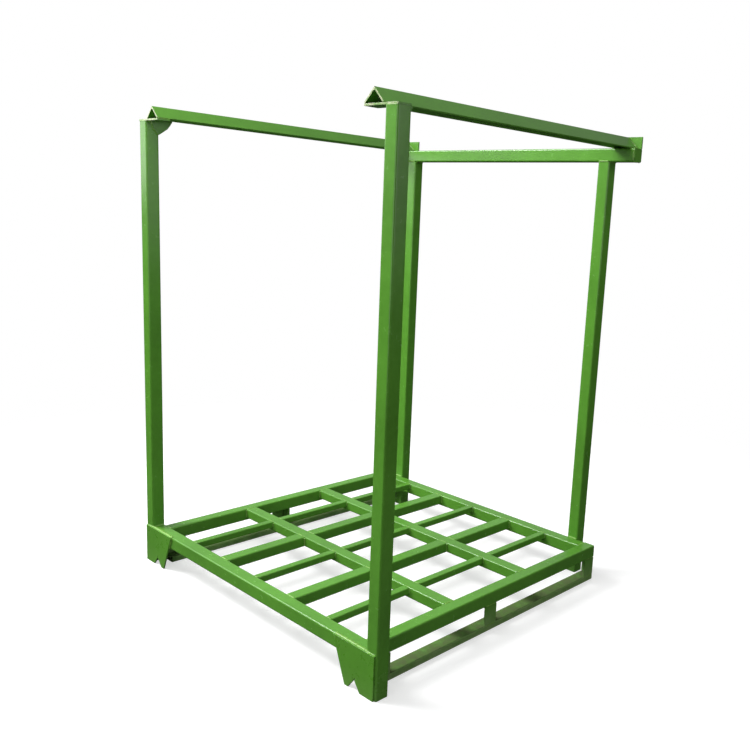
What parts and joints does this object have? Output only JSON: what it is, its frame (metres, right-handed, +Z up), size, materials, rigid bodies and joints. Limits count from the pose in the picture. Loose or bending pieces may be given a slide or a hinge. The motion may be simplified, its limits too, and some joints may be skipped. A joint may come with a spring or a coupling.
{
  "type": "pallet stacking rack",
  "caption": "Open welded steel rack with a slatted deck, fork pockets, corner posts and ridge rails that let a second rack stack on top.",
  "frame": {"origin": "bottom centre of the bounding box, on the floor", "axes": "+Z up, -Y towards the open front with the taller posts, X across the rack"},
  "size_m": [1.4, 1.292, 1.77],
  "materials": {
    "tube_paint": "gloss enamel",
    "plate_paint": "gloss enamel over torch-cut plate",
    "rail_paint": "gloss enamel, worn along its edges"
  },
  "bodies": {
    "root": {"front_post_left": "tube_paint", "front_post_right": "tube_paint", "rear_post_left": "tube_paint", "rear_post_right": "tube_paint", "front_beam": "tube_paint", "rear_beam": "tube_paint", "side_beam_left": "tube_paint", "side_beam_right": "tube_paint", "cross_bar_front": "tube_paint", "cross_bar_rear": "tube_paint", "deck_bar_front_left": "tube_paint", "deck_bar_front_right": "tube_paint", "deck_bar_middle_left": "tube_paint", "deck_bar_middle_right": "tube_paint", "deck_bar_rear_left": "tube_paint", "deck_bar_rear_right": "tube_paint", "deck_slat_front_left": "tube_paint", "deck_slat_front_centre": "tube_paint", "deck_slat_front_right": "tube_paint", "deck_slat_middle_left": "tube_paint", "deck_slat_middle_centre": "tube_paint", "deck_slat_middle_right": "tube_paint", "deck_slat_rear_left": "tube_paint", "deck_slat_rear_centre": "tube_paint", "deck_slat_rear_right": "tube_paint", "lower_rail_left": "rail_paint", "lower_rail_right": "rail_paint", "spacer_front_left": "rail_paint", "spacer_front_right": "rail_paint", "spacer_middle_left": "rail_paint", "spacer_middle_right": "rail_paint", "spacer_rear_left": "rail_paint", "spacer_rear_right": "rail_paint", "foot_plate_left": "plate_paint", "foot_plate_right": "plate_paint", "cap_plate_left": "plate_paint", "cap_plate_right": "plate_paint", "gusset_left": "plate_paint", "gusset_right": "plate_paint", "side_rail_left": "rail_paint", "side_rail_right": "rail_paint", "rear_cross_rail": "tube_paint", "cross_rail_cap_left": "plate_paint", "cross_rail_cap_right": "plate_paint", "end_plate_left": "plate_paint", "end_plate_right": "plate_paint"}
  },
  "joints": []
}
